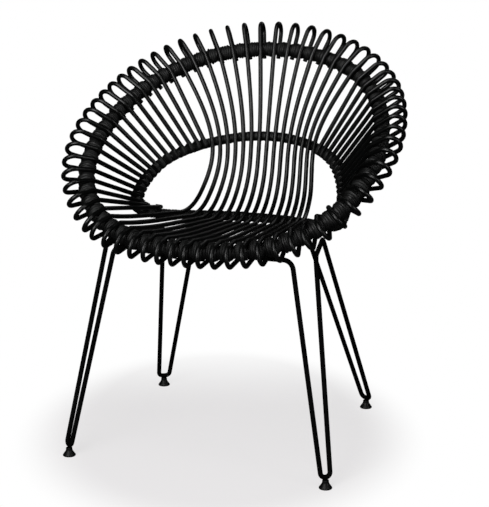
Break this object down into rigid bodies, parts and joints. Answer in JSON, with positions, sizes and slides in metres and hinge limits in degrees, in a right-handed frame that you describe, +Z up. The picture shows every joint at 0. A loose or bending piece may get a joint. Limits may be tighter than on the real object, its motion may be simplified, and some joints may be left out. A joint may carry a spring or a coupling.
{
  "type": "tub chair",
  "caption": "Round tub chair of looped rattan rods over a wrapped rim and hoop, on a bent steel rod base with four hairpin legs and tilting glides",
  "frame": {"origin": "middle of the bounding box, on the floor under the seat", "axes": "+X to the right as seen from the front, +Y to the back, +Z up; the chair faces -Y"},
  "size_m": [0.6694, 0.6131, 0.7934],
  "materials": {
    "rattan": "satin black lacquer over rattan rod",
    "binding": "satin black lacquer over wound peel",
    "coated_steel": "matt black powder coat",
    "plastic": "moulded, fine matt"
  },
  "bodies": {
    "frame": {"outer_rim": "binding", "inner_hoop": "binding", "leg_frame": "coated_steel", "long_rod_01": "rattan", "long_rod_02": "rattan", "long_rod_03": "rattan", "long_rod_04": "rattan", "long_rod_05": "rattan", "long_rod_06": "rattan", "long_rod_07": "rattan", "long_rod_08": "rattan", "long_rod_09": "rattan", "long_rod_10": "rattan", "long_rod_11": "rattan", "long_rod_12": "rattan", "long_rod_13": "rattan", "long_rod_14": "rattan", "long_rod_15": "rattan", "left_rod_01": "rattan", "left_rod_02": "rattan", "left_rod_03": "rattan", "left_rod_04": "rattan", "left_rod_05": "rattan", "left_rod_06": "rattan", "left_rod_07": "rattan", "left_rod_08": "rattan", "left_rod_09": "rattan", "left_rod_10": "rattan", "left_rod_11": "rattan", "left_rod_12": "rattan", "left_rod_13": "rattan", "left_rod_14": "rattan", "left_rod_15": "rattan", "left_rod_16": "rattan", "left_rod_17": "rattan", "right_rod_01": "rattan", "right_rod_02": "rattan", "right_rod_03": "rattan", "right_rod_04": "rattan", "right_rod_05": "rattan", "right_rod_06": "rattan", "right_rod_07": "rattan", "right_rod_08": "rattan", "right_rod_09": "rattan", "right_rod_10": "rattan", "right_rod_11": "rattan", "right_rod_12": "rattan", "right_rod_13": "rattan", "right_rod_14": "rattan", "right_rod_15": "rattan", "right_rod_16": "rattan", "right_rod_17": "rattan", "clip_rear_left": "plastic", "clip_rear_right": "plastic", "clip_front_left": "plastic", "clip_front_right": "plastic"},
    "glide_front_left_body": {"glide_front_left": "plastic"},
    "glide_front_right_body": {"glide_front_right": "plastic"},
    "glide_rear_left_body": {"glide_rear_left": "plastic"},
    "glide_rear_right_body": {"glide_rear_right": "plastic"}
  },
  "joints": [
    {"name": "glide_front_left_tilt", "type": "hinge", "parent": "frame", "child": "glide_front_left_body", "pos_m": [-0.25815, -0.25605, 0.0108], "axis": [0.75, -0.6614, 0], "range_deg": [-10, 10]},
    {"name": "glide_front_right_tilt", "type": "hinge", "parent": "frame", "child": "glide_front_right_body", "pos_m": [0.25815, -0.25605, 0.0108], "axis": [0.75, 0.6614, 0], "range_deg": [-10, 10]},
    {"name": "glide_rear_left_tilt", "type": "hinge", "parent": "frame", "child": "glide_rear_left_body", "pos_m": [-0.228, 0.18252, 0.0108], "axis": [0.86, 0.5103, 0], "range_deg": [-10, 10]},
    {"name": "glide_rear_right_tilt", "type": "hinge", "parent": "frame", "child": "glide_rear_right_body", "pos_m": [0.228, 0.18252, 0.0108], "axis": [0.86, -0.5103, 0], "range_deg": [-10, 10]}
  ]
}
